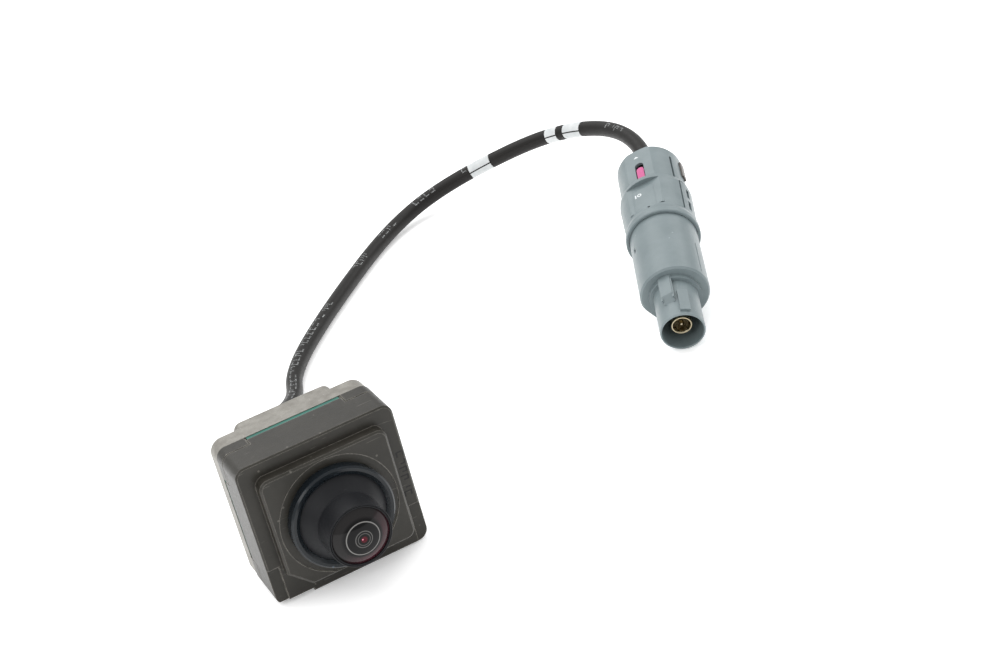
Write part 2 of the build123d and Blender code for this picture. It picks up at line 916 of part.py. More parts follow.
def secondary_lock():
    """Lock that slides back: a curved plate, a finger seen at the side and a pad in the slot."""
    plate_start = chamber_start + 3.5
    plate_end = inner_shell_end - 1.5
    pad_end = lock_pad_start + lock_pad_length
    body = sector(lock_plate_inner, lock_plate_outer, 100, 84, plate_start, plate_end)
    start = chamber_start + lock_finger_start
    body += sector(
        lock_plate_inner, lock_plate_outer, lock_finger_angle, lock_finger_span, start, plate_start
    )
    body += sector(lock_plate_inner, lock_plate_outer, 90, 26, plate_end, pad_end)
    straight_end = pad_end - lock_pad_width / 2
    body += block_at(
        90, lock_pad_width, lock_plate_inner + 0.3, lock_pad_top, lock_pad_start, straight_end
    )
    body += window(
        90, lock_pad_width, lock_plate_inner + 0.3, lock_pad_top, straight_end - lock_pad_width, pad_end
    )
    return body


contact_end = 24.5
insulator_end = 20.0


def outer_contact():
    inner = contact_radius - contact_wall
    crimp = braid_radius + 0.07
    return turned(
        [
            (inner, contact_start + 0.15),
            (inner + 0.1, contact_start),
            (contact_radius - 0.1, contact_start),
            (contact_radius, contact_start + 0.15),
            (contact_radius, contact_stop + 0.1),
            (contact_bore - 0.05, contact_stop + 0.1),
            (contact_bore - 0.05, contact_end - 3),
            (crimp + 0.28, contact_end - 3),
            (crimp + 0.28, contact_end),
            (crimp, contact_end),
            (crimp, insulator_end + 0.8),
            (inner, insulator_end + 0.8),
        ],
        plug_axis,
    )


def contact_insulator():
    outer = contact_radius - contact_wall - 0.03
    return tube(outer, pin_radius + 0.03, contact_start + insulator_depth, insulator_end, plug_axis)


def centre_pin():
    tip = contact_start + 0.4
    return turned(
        [
            (0, tip),
            (pin_radius * 0.4, tip),
            (pin_radius, tip + 0.6),
            (pin_radius, insulator_end + 1.2),
            (0, insulator_end + 1.2),
        ],
        plug_axis,
    )


plug_jacket = contact_end + 0.4


def plug_lead_end():
    return stripped_end(insulator_end + 1.3, contact_end - 2.4, plug_jacket, cap_end, plug_axis)


def plug_ferrule():
    inner = lead_radius + lead_fit
    return tube(inner + ferrule_wall, inner, contact_end + 0.1, contact_end + 6.5, plug_axis)


def lead_route():
    """Straight out of the boot, down to the ground, round in a wide bend and up to the plug."""
    outlet = Vector(0, front_y + boot_back, outlet_height)
    tail = (plug_place * Location((0, cap_end, 0))).position
    behind = (plug_place * Location((0, cap_end + lead_entry_run, 0))).position
    ground = lead_radius
    return [
        outlet,
        outlet + Vector(0, lead_exit_run, 0),
        Vector(3.5, 40.5, 6.4),
        Vector(13.0, 52.4, ground),
        Vector(17.1, 65.5, ground),
        Vector(34.2, 85.6, ground),
        Vector(59.8, 111.0, ground),
        Vector(77.9, 113.0, 5.5),
        Vector(98.9, 95.2, 14.8),
        behind,
        tail,
    ]


def bend_radii(points):
    """Largest arc each corner takes: 0.45 of its shorter run over the tangent of half its turn."""
    radii = []
    for before, corner, after in zip(points, points[1:], points[2:]):
        run_in = corner - before
        run_out = after - corner
        turn = acos(run_in.dot(run_out) / (run_in.length * run_out.length))
        radii.append(0.45 * min(run_in.length, run_out.length) / tan(turn / 2))
    return radii


def lead_cable():
    points = lead_route()
    radii = bend_radii(points)
    print("bend radii", [round(radius, 1) for radius in radii])
    path = FilletPolyline(*points, radius=radii)
    start = Plane(origin=path @ 0, z_dir=path % 0)
    lead = sweep(start * Circle(lead_radius), path)
    expected = pi * lead_radius**2 * path.length
    print("lead length", round(path.length, 1), "volume share", round(lead.volume / expected, 4))
    return lead


def camera_nodes():
    rim_front = rim_lip - rim_reach
    front_spacer_back = front_seat + front_spacer
    second_back = front_spacer_back + second_lens_thickness
    third_front = stop_back + lens_fit
    return {
        "front_housing": front_housing(),
        "housing_gasket": housing_gasket(),
        "rear_housing": rear_housing(),
        "housing_screws": housing_screws(),
        "board_screws": board_screws(),
        "lens_bezel": lens_bezel(),
        "lens_barrel": lens_barrel(),
        "lens_retainer": tube(
            front_bore - lens_fit, dome_radius + lens_fit, -rim_reach, rim_front, lens_axis
        ),
        "front_lens": lens(
            front_bore - lens_fit, rim_front, front_seat, -dome_bulge, -1.3, dome_radius, 3.25
        ),
        "front_spacer": tube(
            second_bore - lens_fit, 3.3, front_seat, front_spacer_back, lens_axis
        ),
        "second_lens": lens(
            second_bore - lens_fit, front_spacer_back, second_back, -0.3, -0.7, 3.2, 2.9
        ),
        "middle_spacer": tube(second_bore - lens_fit, 3.0, second_back, second_seat, lens_axis),
        "aperture_stop": tube(third_bore - lens_fit, 1.5, second_seat, stop_back, lens_axis),
        "third_lens": lens(third_bore - lens_fit, third_front, third_back, 0.25, 0.5),
        "rear_spacer": tube(third_bore - lens_fit, 3.3, third_back, fourth_front, lens_axis),
        "fourth_lens": lens(third_bore - lens_fit, fourth_front, fourth_back, -0.25, 0.4, back_cap=2.7),
        "lens_clip": tube(third_bore - lens_fit, 2.8, fourth_back, third_seat, lens_axis),
        "infrared_filter": tube(
            exit_bore - lens_fit, 0, filter_depth, filter_depth + filter_thickness, lens_axis
        ),
        "lens_o_ring": lens_o_ring(),
        "lens_holder": lens_holder(),
        "image_sensor": slab(
            Rectangle(sensor_width, sensor_height), board_depth - sensor_thickness, board_depth, lens_axis
        ),
        "sensor_glass": slab(
            Rectangle(sensor_width - 1.2, sensor_height - 1.2),
            board_depth - sensor_thickness - cover_glass,
            board_depth - sensor_thickness,
            lens_axis,
        ),
        "sensor_board": board(board_depth, board_screw_radius + hole_fit),
        "rear_board": board(rear_board_front, board_screw_radius + hole_fit),
        "shield_can": shield_can(),
        "board_socket": board_socket(),
        "board_header": board_header(),
        "serializer_chip": serializer_chip(),
        "thermal_pad": thermal_pad(),
        "board_jack": board_jack(),
        "module_coax_plug": module_coax_plug(),
        "module_ferrule": module_ferrule(),
        "module_lead_end": module_lead_end(),
        "cable_boot": cable_boot(),
    }


def plug_nodes():
    made = {
        "plug_body": plug_body(),
        "plug_sleeve": plug_sleeve(),
        "sleeve_seal": sleeve_seal(),
        "rear_cap": rear_cap(),
        "side_tab": side_tab(),
        "wire_seal": wire_seal(),
        "secondary_lock": secondary_lock(),
        "outer_contact": outer_contact(),
        "contact_insulator": contact_insulator(),
        "centre_pin": centre_pin(),
        "plug_ferrule": plug_ferrule(),
        "plug_lead_end": plug_lead_end(),
    }
    return {name: plug_place * piece for name, piece in made.items()}


nodes = camera_nodes() | {"lead_cable": lead_cable()} | plug_nodes()
for name, piece in nodes.items():
    export_step(piece, f"parts/{name}.step")
print(len(nodes), "nodes")
behind = (plug_place * Location((0, 1, 0))).position - plug_place.position
print("front border y", round(front_y, 3), "lock slides along", behind)
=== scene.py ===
import json
from math import pi, radians
import bpy
import numpy as np
from mathutils import Matrix, Vector


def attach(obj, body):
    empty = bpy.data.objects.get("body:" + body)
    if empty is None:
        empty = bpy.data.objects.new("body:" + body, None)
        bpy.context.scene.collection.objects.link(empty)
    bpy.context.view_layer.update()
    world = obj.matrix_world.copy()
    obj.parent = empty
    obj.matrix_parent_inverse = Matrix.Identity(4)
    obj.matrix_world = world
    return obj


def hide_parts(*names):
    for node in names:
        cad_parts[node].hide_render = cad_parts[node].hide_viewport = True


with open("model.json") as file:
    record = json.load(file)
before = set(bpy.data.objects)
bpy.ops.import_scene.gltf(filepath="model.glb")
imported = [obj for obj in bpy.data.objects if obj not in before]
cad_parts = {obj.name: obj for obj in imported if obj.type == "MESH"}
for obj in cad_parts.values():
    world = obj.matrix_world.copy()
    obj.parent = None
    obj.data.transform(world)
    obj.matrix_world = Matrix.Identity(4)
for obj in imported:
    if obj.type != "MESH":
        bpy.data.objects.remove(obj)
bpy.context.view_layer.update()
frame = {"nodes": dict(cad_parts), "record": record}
nodes = frame["nodes"]
scene = bpy.context.scene
mm = 0.001
print("frame loaded:", len(nodes), "nodes")

# Camera, with its right and up directions in the part's own frame
shot = {
    "position": (-0.06371, -0.28198, 0.18052),
    "right": (0.86998, -0.43781, -0.22686),
    "up": (0.39025, 0.33010, 0.85950),
    "focalLength": 72.0,
    "sensor": 36.0,
    "near": 0.01,
    "far": 20.0,
}
right = Vector(shot["right"]).normalized()
up = Vector(shot["up"])
up = (up - right * up.dot(right)).normalized()
cameraData = bpy.data.cameras.new("camera")
cameraData.lens = shot["focalLength"]
cameraData.sensor_width = shot["sensor"]
cameraData.clip_start, cameraData.clip_end = shot["near"], shot["far"]
camera = bpy.data.objects.new("camera", cameraData)
scene.collection.objects.link(camera)
turned = Matrix((right, up, right.cross(up))).transposed().to_4x4()
camera.matrix_world = Matrix.Translation(shot["position"]) @ turned
scene.camera = camera
print("camera placed")


# Joins a grid of points (rows x columns x 3) into quads. around closes the columns, and caps closes the first
# and last row with a fan to its middle point. uv is rows x (columns + 1) x 2.
def gridMesh(name, points, around=True, caps=False, uv=None):
    rows, columns = points.shape[:2]
    index = np.arange(rows * columns).reshape(rows, columns)
    a, b = index, np.roll(index, -1, axis=1)
    c, d = np.roll(b, -1, axis=0), np.roll(a, -1, axis=0)
    lastColumn = columns if around else columns - 1
    quads = np.stack([a, b, c, d], axis=-1)[:-1, :lastColumn].reshape(-1, 4)
    vertices = points.reshape(-1, 3)
    faces = quads.tolist()
    if caps:
        centres = np.array([points[0].mean(0), points[-1].mean(0)])
        first, last = len(vertices), len(vertices) + 1
        vertices = np.concatenate([vertices, centres])
        head, tail = index[0], index[-1]
        faces += np.stack([np.full(columns, first), np.roll(head, -1), head], axis=-1).tolist()
        faces += np.stack([np.full(columns, last), tail, np.roll(tail, -1)], axis=-1).tolist()
    mesh = bpy.data.meshes.new(name)
    mesh.from_pydata(vertices.tolist(), [], faces)
    mesh.polygons.foreach_set("use_smooth", np.ones(len(faces), bool))
    if uv is not None:
        corners = np.stack([uv[:-1, :-1], uv[:-1, 1:], uv[1:, 1:], uv[1:, :-1]], axis=2)
        flat = np.zeros((len(mesh.loops), 2), np.float32)
        flat[:quads.size] = corners.reshape(-1, 2)
        mesh.uv_layers.new(name="along").data.foreach_set("uv", flat.ravel())
    mesh.update()
    return mesh


def moved(points, place):
    turn = np.array(place.to_3x3())
    return points @ turn.T + np.array(place.translation)


def addPiece(name, mesh, material, body="camera_and_lead"):
    piece = bpy.data.objects.new(name, mesh)
    scene.collection.objects.link(piece)
    mesh.materials.append(material)
    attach(piece, body)
    return piece


# Small helpers for node trees: a source is a socket or a plain number
def add(tree, kind, **settings):
    node = tree.nodes.new("ShaderNode" + kind)
    for key, value in settings.items():
        setattr(node, key, value)
    return node


def feed(tree, socket, source):
    if isinstance(source, bpy.types.NodeSocket):
        tree.links.new(source, socket)
    else:
        socket.default_value = source


def calc(tree, operation, first, second=0.0, third=None):
    node = add(tree, "Math", operation=operation)
    feed(tree, node.inputs[0], first)
    feed(tree, node.inputs[1], second)
    if third is not None:
        feed(tree, node.inputs[2], third)
    return node.outputs[0]


def ramp(tree, value, low, high, toLow=0.0, toHigh=1.0):
    node = add(tree, "MapRange")
    feed(tree, node.inputs["Value"], value)
    feed(tree, node.inputs["From Min"], low)
    feed(tree, node.inputs["From Max"], high)
    feed(tree, node.inputs["To Min"], toLow)
    feed(tree, node.inputs["To Max"], toHigh)
    return node.outputs["Result"]


def blendColour(tree, share, first, second):
    node = add(tree, "Mix", data_type="RGBA")
    feed(tree, node.inputs[0], share)
    feed(tree, node.inputs[6], (*first, 1) if isinstance(first, tuple) else first)
    feed(tree, node.inputs[7], (*second, 1) if isinstance(second, tuple) else second)
    return node.outputs[2]


def noise(tree, vector, scale, detail=2.0, rough=0.5):
    node = add(tree, "TexNoise")
    feed(tree, node.inputs["Vector"], vector)
    feed(tree, node.inputs["Scale"], scale)
    node.inputs["Detail"].default_value = detail
    node.inputs["Roughness"].default_value = rough
    return node.outputs["Fac"]


# Product of several masks
def both(tree, *parts):
    total = parts[0]
    for part in parts[1:]:
        total = calc(tree, "MULTIPLY", total, part)
    return total


def within(tree, value, middle, half):
    return calc(tree, "COMPARE", value, middle, half)


# Distance from a point, across two coordinates
def reachFrom(tree, x, y, middleX=0.0, middleY=0.0):
    offX, offY = calc(tree, "SUBTRACT", x, middleX), calc(tree, "SUBTRACT", y, middleY)
    return calc(tree, "SQRT", calc(tree, "MULTIPLY_ADD", offX, offX, calc(tree, "MULTIPLY", offY, offY)))


def startGroup(name, inputs, outputs):
    tree = bpy.data.node_groups.new(name, "ShaderNodeTree")
    for label, value in inputs.items():
        socket = tree.interface.new_socket(label, in_out="INPUT", socket_type="NodeSocketFloat")
        socket.default_value = value
    for label in outputs:
        tree.interface.new_socket(label, in_out="OUTPUT", socket_type="NodeSocketFloat")
    return tree, tree.nodes.new("NodeGroupInput").outputs, tree.nodes.new("NodeGroupOutput").inputs


wearAndHighlightParts = {
    "inputs": {"Radius": 0.0003, "Low": 0.02, "High": 0.3, "Breakup": 900.0},
    "samples": 6,
    "noise": (3.0, 0.6),  # detail and roughness
    "patches": (0.3, 0.6, 0.35, 1.0),  # two levels of the noise, and how worn each is
}


# Edge wear and painted edge highlight: how far a rounded copy of the surface's direction leaves the real one,
# broken up by noise
def edgeWearAndHighlightGroup():
    tree, given, result = startGroup("edgeWearAndHighlight", wearAndHighlightParts["inputs"], ["Mask"])
    bevel = add(tree, "Bevel", samples=wearAndHighlightParts["samples"])
    feed(tree, bevel.inputs["Radius"], given["Radius"])
    dot = add(tree, "VectorMath", operation="DOT_PRODUCT")
    feed(tree, dot.inputs[0], bevel.outputs["Normal"])
    feed(tree, dot.inputs[1], add(tree, "NewGeometry").outputs["Normal"])
    away = calc(tree, "SUBTRACT", 1.0, dot.outputs["Value"])
    edge = ramp(tree, away, given["Low"], given["High"])
    where = add(tree, "TexCoord").outputs["Object"]
    patchy = ramp(tree, noise(tree, where, given["Breakup"], *wearAndHighlightParts["noise"]), *wearAndHighlightParts["patches"])
    feed(tree, result["Mask"], calc(tree, "MULTIPLY", edge, patchy))
    return tree


grainParts = {
    "inputs": {"Scale": 6000.0, "Cloud": 140.0},
    "fine": (3.0, 0.65), "coarse": (2.0, 0.5), "cloud": (4.0, 0.6),  # detail and roughness of each noise
    "coarseScale": 0.22,
    "coarseShare": 0.6,
    "cloudLevels": (0.35, 0.65),
}


# Moulded or cast grain: fine and coarse noise added for height, and slow noise for cloudy colour
def grainGroup():
    tree, given, result = startGroup("grain", grainParts["inputs"], ["Height", "Cloud"])
    where = add(tree, "TexCoord").outputs["Object"]
    fine = noise(tree, where, given["Scale"], *grainParts["fine"])
    coarseScale = calc(tree, "MULTIPLY", given["Scale"], grainParts["coarseScale"])
    coarse = noise(tree, where, coarseScale, *grainParts["coarse"])
    feed(tree, result["Height"], calc(tree, "MULTIPLY_ADD", coarse, grainParts["coarseShare"], fine))
    cloud = noise(tree, where, given["Cloud"], *grainParts["cloud"])
    feed(tree, result["Cloud"], ramp(tree, cloud, *grainParts["cloudLevels"]))
    return tree


speckParts = {
    "inputs": {"Scale": 700.0, "Amount": 0.06},
    "dotSize": 0.14,
    "scratchTurn": (0.4, 0.7, 0.9),
    "scratchStretch": (260, 3200, 3200),
    "scratchNoise": (1.0, 2.0, 0.5),  # scale, detail and roughness
    "scratchLevels": (0.68, 0.74),
}


# Dust specks and short scratches: small cells of which few are lit, and stretched noise cut at a high level
def specksGroup():
    tree, given, result = startGroup("specks", speckParts["inputs"], ["Specks", "Scratches"])
    where = add(tree, "TexCoord").outputs["Object"]
    cells = add(tree, "TexVoronoi", feature="F1")
    feed(tree, cells.inputs["Vector"], where)
    feed(tree, cells.inputs["Scale"], given["Scale"])
    dots = calc(tree, "LESS_THAN", cells.outputs["Distance"], speckParts["dotSize"])
    chosen = add(tree, "SeparateColor")
    feed(tree, chosen.inputs[0], cells.outputs["Color"])
    few = calc(tree, "LESS_THAN", chosen.outputs[0], given["Amount"])
    feed(tree, result["Specks"], calc(tree, "MULTIPLY", dots, few))
    turn = add(tree, "Mapping")
    turn.inputs["Rotation"].default_value = speckParts["scratchTurn"]
    turn.inputs["Scale"].default_value = speckParts["scratchStretch"]
    feed(tree, turn.inputs["Vector"], where)
    streaks = noise(tree, turn.outputs[0], *speckParts["scratchNoise"])
    feed(tree, result["Scratches"], ramp(tree, streaks, *speckParts["scratchLevels"]))
    return tree


# Each stroke's middle and half size in a cell that is one wide and one high, and the draw that decides on it
markParts = {
    "inputs": {"Along": 0.0, "Across": 0.0, "Pitch": 1.75, "Gaps": 0.28},
    "cellsInWord": 4.0,
    "wide": (0.46, 0.32), "tall": (0.5, 0.5), "short": (0.65, 0.3),
    "left": (0.2, 0.08), "right": (0.7, 0.08), "top": (0.9, 0.1), "foot": (0.1, 0.1),
    "leftOver": 0.3, "rightOver": 0.5, "topOver": 0.4, "footUnder": 0.55,
}


# Printed or stamped marks: cells along a line, each with a few short strokes picked at random
def printMarksGroup():
    tree, given, result = startGroup("printMarks", markParts["inputs"], ["Mask"])
    cell = calc(tree, "DIVIDE", given["Along"], given["Pitch"])
    inside = calc(tree, "FRACT", cell)
    pick = add(tree, "TexWhiteNoise", noise_dimensions="1D")
    feed(tree, pick.inputs["W"], calc(tree, "FLOOR", cell))
    draw = add(tree, "SeparateColor")
    feed(tree, draw.inputs[0], pick.outputs["Color"])
    word = add(tree, "TexWhiteNoise", noise_dimensions="1D")
    feed(tree, word.inputs["W"], calc(tree, "FLOOR", calc(tree, "DIVIDE", cell, markParts["cellsInWord"])))
    left, right, wide = [within(tree, inside, *markParts[name]) for name in ("left", "right", "wide")]
    tall, short, top, foot = [
        within(tree, given["Across"], *markParts[name]) for name in ("tall", "short", "top", "foot")]
    strokes = [
        both(tree, left, tall, calc(tree, "GREATER_THAN", draw.outputs[0], markParts["leftOver"])),
        both(tree, right, short, calc(tree, "GREATER_THAN", draw.outputs[1], markParts["rightOver"])),
        both(tree, top, wide, calc(tree, "GREATER_THAN", draw.outputs[2], markParts["topOver"])),
        both(tree, foot, wide, calc(tree, "LESS_THAN", draw.outputs[1], markParts["footUnder"])),
    ]
    total = strokes[0]
    for part in strokes[1:]:
        total = calc(tree, "MAXIMUM", total, part)
    shown = calc(tree, "GREATER_THAN", word.outputs["Value"], given["Gaps"])
    feed(tree, result["Mask"], both(tree, total, shown))
    return tree


groups = {
    "edgeWearAndHighlight": edgeWearAndHighlightGroup(),
    "grain": grainGroup(),
    "specks": specksGroup(),
    "printMarks": printMarksGroup(),
}
print("node groups made:", len(groups))


def useGroup(tree, name, **values):
    node = add(tree, "Group", node_tree=groups[name])
    for label, value in values.items():
        feed(tree, node.inputs[label], value)
    return node.outputs


plainSockets = (
    "Metallic", "IOR", "Coat Weight", "Coat Roughness", "Transmission Weight", "Specular IOR Level",
)


def startMaterial(name, look):
    material = bpy.data.materials.new(name)
    material.use_nodes = True
    tree = material.node_tree
    shader = tree.nodes["Principled BSDF"]
    for label in plainSockets:
        if label in look:
            shader.inputs[label].default_value = look[label]
    material.diffuse_color = (*look["colour"], 1)
    return material, tree, shader


def addBump(tree, shader, strength, distance, height):
    bump = add(tree, "Bump")
    bump.inputs["Strength"].default_value = strength
    bump.inputs["Distance"].default_value = distance
    feed(tree, bump.inputs["Height"], height)
    feed(tree, shader.inputs["Normal"], bump.outputs["Normal"])


# What a satin look has unless it says otherwise
satinUsual = dict(
    grain=6000.0, cloud=140.0, dust=0.0, speckScale=700.0, scratch=0.4, dustShare=0.5, wearAndHighlight=0.0,
    wearAndHighlightRadius=0.0003, wearAndHighlightHigh=0.3, grainLevels=(0.5, 1.1), roughSpread=0.06, bump=0.25, bumpHeight=0.00006,
)


# Satin surface with cloudy colour, grain, pale edges (wear, and in places a painted edge highlight), dust and
# scratches, all from one look
def satin(name, marks=None, **given):
    look = {**satinUsual, **given}
    material, tree, shader = startMaterial(name, look)
    grain = useGroup(tree, "grain", Scale=look["grain"], Cloud=look["cloud"])
    colour = blendColour(tree, grain["Cloud"], look["colour"], look["second"])
    if look["dust"] > 0:
        specks = useGroup(tree, "specks", Scale=look["speckScale"], Amount=look["dust"])
        scratches = calc(tree, "MULTIPLY", specks["Scratches"], look["scratch"])
        dusty = calc(tree, "MAXIMUM", specks["Specks"], scratches)
        colour = blendColour(tree, calc(tree, "MULTIPLY", dusty, look["dustShare"]), colour, look["pale"])
    # pale edges: real wear, and on the case and the bezel ring also a painted highlight
    if look["wearAndHighlight"] > 0:
        wearAndHighlightMask = useGroup(tree, "edgeWearAndHighlight", Radius=look["wearAndHighlightRadius"], High=look["wearAndHighlightHigh"])
        share = calc(tree, "MULTIPLY", wearAndHighlightMask["Mask"], look["wearAndHighlight"])
        colour = blendColour(tree, share, colour, look["pale"])
    raised = 0.0
    if marks:
        mask, markColour, markHeight = marks(tree)
        colour = blendColour(tree, mask, colour, markColour)
        raised = calc(tree, "MULTIPLY", mask, markHeight)
    feed(tree, shader.inputs["Base Color"], colour)
    smoothest, roughest = look["rough"] - look["roughSpread"], look["rough"] + look["roughSpread"]
    rough = ramp(tree, grain["Height"], *look["grainLevels"], smoothest, roughest)
    feed(tree, shader.inputs["Roughness"], rough)
    addBump(tree, shader, look["bump"], look["bumpHeight"], calc(tree, "ADD", grain["Height"], raised))
    return material


glassGrain = {"Scale": 900.0, "Cloud": 250.0}


# Coated glass: clear, with a faint colour of its own and slow differences in how clean it is
def glass(name, **look):
    material, tree, shader = startMaterial(name, look)
    grain = useGroup(tree, "grain", **glassGrain)
    feed(tree, shader.inputs["Base Color"], blendColour(tree, grain["Cloud"], look["colour"], look["second"]))
    feed(tree, shader.inputs["Roughness"], ramp(tree, grain["Cloud"], 0.0, 1.0, 0.0, look["rough"]))
    return material


looks = {
    # case: its pale edges are partly wear and partly a painted highlight along the chamfers
    "casePlastic": dict(
        colour=(0.0195, 0.0180, 0.0142), second=(0.0285, 0.0262, 0.0212), pale=(0.36, 0.34, 0.30),
        rough=0.38, bump=0.35, wearAndHighlight=0.65, wearAndHighlightRadius=0.0003, wearAndHighlightHigh=0.22, dust=0.09, scratch=0.6,
        dustShare=0.2, **{"Specular IOR Level": 0.3},
    ),
    "gasketTeal": dict(
        colour=(0.012, 0.10, 0.078), second=(0.02, 0.14, 0.108), pale=(0.2, 0.36, 0.32), rough=0.5,
        wearAndHighlight=0.2,
    ),
    "castAluminium": dict(
        colour=(0.19, 0.18, 0.16), second=(0.27, 0.26, 0.235), pale=(0.52, 0.51, 0.48), rough=0.46,
        Metallic=0.5, grain=3300.0, cloud=420.0, bump=0.8, wearAndHighlight=0.5, dust=0.3, scratch=0.3,
        dustShare=0.45, speckScale=2100.0,
    ),
    "screwSteel": dict(
        colour=(0.42, 0.42, 0.43), second=(0.5, 0.49, 0.48), pale=(0.8, 0.8, 0.8), rough=0.32,
        Metallic=1.0, bump=0.2, wearAndHighlight=0.4,
    ),
    # bezel ring: its pale bluish edges are partly wear and partly a painted bluish highlight
    "glossRing": dict(
        colour=(0.006, 0.0085, 0.011), second=(0.0085, 0.0115, 0.014), pale=(0.16, 0.2, 0.25), rough=0.17,
        roughSpread=0.03, bump=0.05, wearAndHighlight=0.45, wearAndHighlightRadius=0.00015, wearAndHighlightHigh=0.4, dust=0.02,
        dustShare=0.3, **{"Specular IOR Level": 0.3},
    ),
    "barrelBlack": dict(
        colour=(0.008, 0.0085, 0.010), second=(0.011, 0.0115, 0.013), pale=(0.08, 0.08, 0.085),
        rough=0.45, bump=0.12, wearAndHighlight=0.2, wearAndHighlightRadius=0.00015, dust=0.02, dustShare=0.25,
        **{"Specular IOR Level": 0.16},
    ),
    "spacerMetal": dict(
        colour=(0.4, 0.4, 0.4), second=(0.5, 0.5, 0.5), rough=0.35, Metallic=0.9,
    ),
    "sealRubber": dict(
        colour=(0.012, 0.012, 0.012), second=(0.018, 0.018, 0.018), pale=(0.1, 0.1, 0.1), rough=0.6,
        wearAndHighlight=0.1,
    ),
    "sensorPackage": dict(
        colour=(0.03, 0.03, 0.035), second=(0.04, 0.04, 0.045), rough=0.4,
    ),
    "boardGreen": dict(
        colour=(0.01, 0.08, 0.035), second=(0.015, 0.11, 0.05), pale=(0.3, 0.4, 0.3), rough=0.3, wearAndHighlight=0.3,
    ),
    "tinPlate": dict(
        colour=(0.45, 0.44, 0.42), second=(0.52, 0.51, 0.48), rough=0.3, Metallic=1.0,
    ),
    "connectorBlack": dict(
        colour=(0.02, 0.02, 0.02), second=(0.03, 0.03, 0.03), rough=0.45,
    ),
    "padGrey": dict(
        colour=(0.25, 0.26, 0.28), second=(0.3, 0.31, 0.33), rough=0.7,
    ),
    "contactBrass": dict(
        colour=(0.42, 0.35, 0.22), second=(0.52, 0.45, 0.31), pale=(0.85, 0.82, 0.74), rough=0.24,
        Metallic=1.0, bump=0.1, wearAndHighlight=0.6, wearAndHighlightRadius=0.00015,
    ),
    "bootRubber": dict(
        colour=(0.010, 0.010, 0.010), second=(0.015, 0.015, 0.015), pale=(0.07, 0.07, 0.07), rough=0.58,
        bump=0.3, wearAndHighlight=0.3,
    ),
    "leadCore": dict(
        colour=(0.012, 0.012, 0.012), second=(0.018, 0.018, 0.018), rough=0.4,
    ),
    "plugGrey": dict(
        colour=(0.150, 0.186, 0.195), second=(0.172, 0.210, 0.219), pale=(0.42, 0.48, 0.50), rough=0.36,
        bump=0.2, wearAndHighlight=0.35, wearAndHighlightRadius=0.0002, wearAndHighlightHigh=0.4, dust=0.03, scratch=0.15, dustShare=0.25,
        cloud=220.0, **{"Specular IOR Level": 0.4},
    ),
    "tabBrown": dict(
        colour=(0.06, 0.052, 0.047), second=(0.085, 0.073, 0.066), pale=(0.25, 0.23, 0.21), rough=0.4,
        wearAndHighlight=0.4,
    ),
    "lockPink": dict(
        colour=(0.44, 0.045, 0.185), second=(0.50, 0.06, 0.22), pale=(0.9, 0.36, 0.58), rough=0.36,
        bump=0.12, wearAndHighlight=0.4, wearAndHighlightRadius=0.0002,
    ),
    "insulatorWhite": dict(
        colour=(0.30, 0.29, 0.25), second=(0.36, 0.34, 0.30), rough=0.45,
    ),
}
materials = {name: satin(name, **look) for name, look in looks.items()}
materials["lensGlass"] = glass(
    "lensGlass", colour=(0.93, 0.94, 0.95), second=(0.95, 0.95, 0.94), rough=0.012,
    **{"Transmission Weight": 1.0, "IOR": 1.6, "Coat Weight": 0.3, "Coat Roughness": 0.02})
materials["filterGlass"] = glass(
    "filterGlass", colour=(0.55, 0.80, 0.85), second=(0.6, 0.82, 0.86), rough=0.01,
    **{"Transmission Weight": 1.0, "IOR": 1.5})


# Object coordinates in mm, measured from a place and turned with it
def millimetres(tree, place=(0, 0, 0), turn=(0, 0, 0)):
    local = add(tree, "Mapping", vector_type="TEXTURE")
    local.inputs["Location"].default_value = [value * mm for value in place]
    local.inputs["Rotation"].default_value = turn
    local.inputs["Scale"].default_value = (mm, mm, mm)
    feed(tree, local.inputs["Vector"], add(tree, "TexCoord").outputs["Object"])
    split = add(tree, "SeparateXYZ")
    feed(tree, split.inputs[0], local.outputs[0])
    return split.outputs[0], split.outputs[1], split.outputs[2]


# Generic stamped strokes down the case's right border
caseMarks = {
    "top": 17.8, "run": 8.9, "middle": 13.1, "lean": 0.065, "height": 1.45, "pitch": 1.5, "front": -7.2,
    "skin": 0.05,  # how near to the front face a point has to be
    "colour": (0.0022, 0.0022, 0.002), "raised": -3.0,
}


def stampedBorder(tree):
    x, y, z = millimetres(tree)
    down = calc(tree, "SUBTRACT", caseMarks["top"], z)
    line = calc(tree, "MULTIPLY_ADD", down, -caseMarks["lean"], caseMarks["middle"])
    across = calc(tree, "SUBTRACT", x, line)
    across = calc(tree, "MULTIPLY_ADD", across, 1 / caseMarks["height"], 0.5)
    strokes = useGroup(tree, "printMarks", Along=down, Across=across, Pitch=caseMarks["pitch"], Gaps=0.0)
    inRun = within(tree, down, caseMarks["run"] / 2, caseMarks["run"] / 2)
    onFront = within(tree, y, caseMarks["front"], caseMarks["skin"])
    return both(tree, strokes["Mask"], inRun, onFront), caseMarks["colour"], caseMarks["raised"]


# Where the plug lies: its tip, its turn and the way it leans, as in the CAD
plugPose = {
    "tip": (76.9, 11.7, 4.149), "turn": -25.7, "tilt": 12.529, "roll": -17.0,
    "length": 51.0, "entryRun": 14.5,
}
plugPlace = (
    Matrix.Translation(Vector(plugPose["tip"]) * mm)
    @ Matrix.Rotation(radians(plugPose["turn"]), 4, "Z")
    @ Matrix.Rotation(radians(plugPose["tilt"]), 4, "X")
    @ Matrix.Rotation(radians(plugPose["roll"]), 4, "Y")
)
plugMarks = {
    "bar": (-1.85, 36.0, 0.13, 0.5),  # across, along, and half of its width and length
    "ring": (-1.05, 36.1, 0.36, 0.11),  # across, along, radius and half of its line
    "arrow": (-0.3, 48.5, 0.55),  # across, where it starts and its length
    "above": 5.0,  # only points this far out from the plug's axis
    "strength": 0.8, "colour": (0.75, 0.78, 0.79), "raised": 0.6,
}


